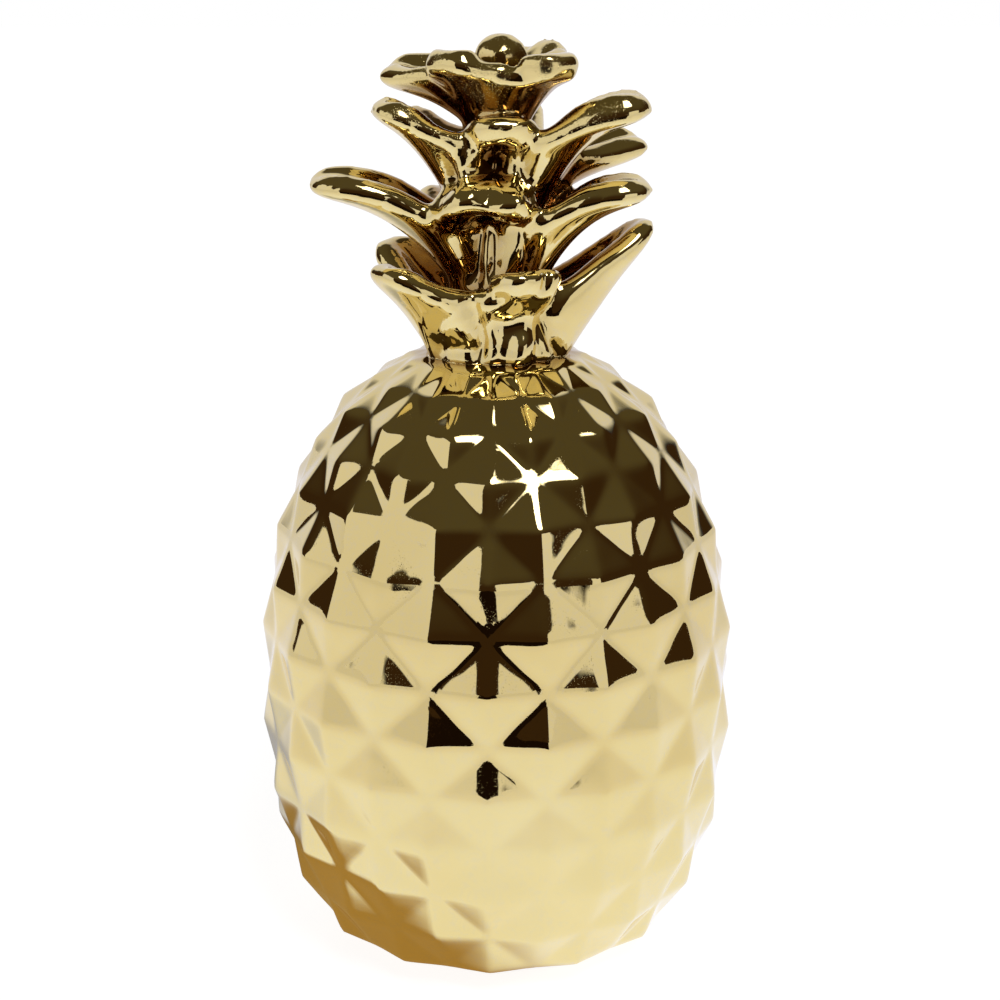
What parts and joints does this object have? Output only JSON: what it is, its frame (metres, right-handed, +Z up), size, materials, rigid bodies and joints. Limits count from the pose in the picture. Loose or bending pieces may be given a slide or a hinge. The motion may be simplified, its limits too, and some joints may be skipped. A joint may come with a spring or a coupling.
{
  "type": "pineapple ornament",
  "caption": "Standing pineapple ornament in gold lustre glazed ceramic, with a diamond faceted fruit and a crown of arched leaves.",
  "frame": {"origin": "middle of the flat underside that the ornament stands on, at floor level", "axes": "+Z up along the fruit's axis to the bud on top, -Y toward the side seen from the front"},
  "size_m": [0.1254, 0.1258, 0.24],
  "materials": {
    "gold_lustre_glaze": "mirror-bright metallic gold lustre over glaze"
  },
  "bodies": {
    "root": {"pineapple": "gold_lustre_glaze"}
  },
  "joints": []
}
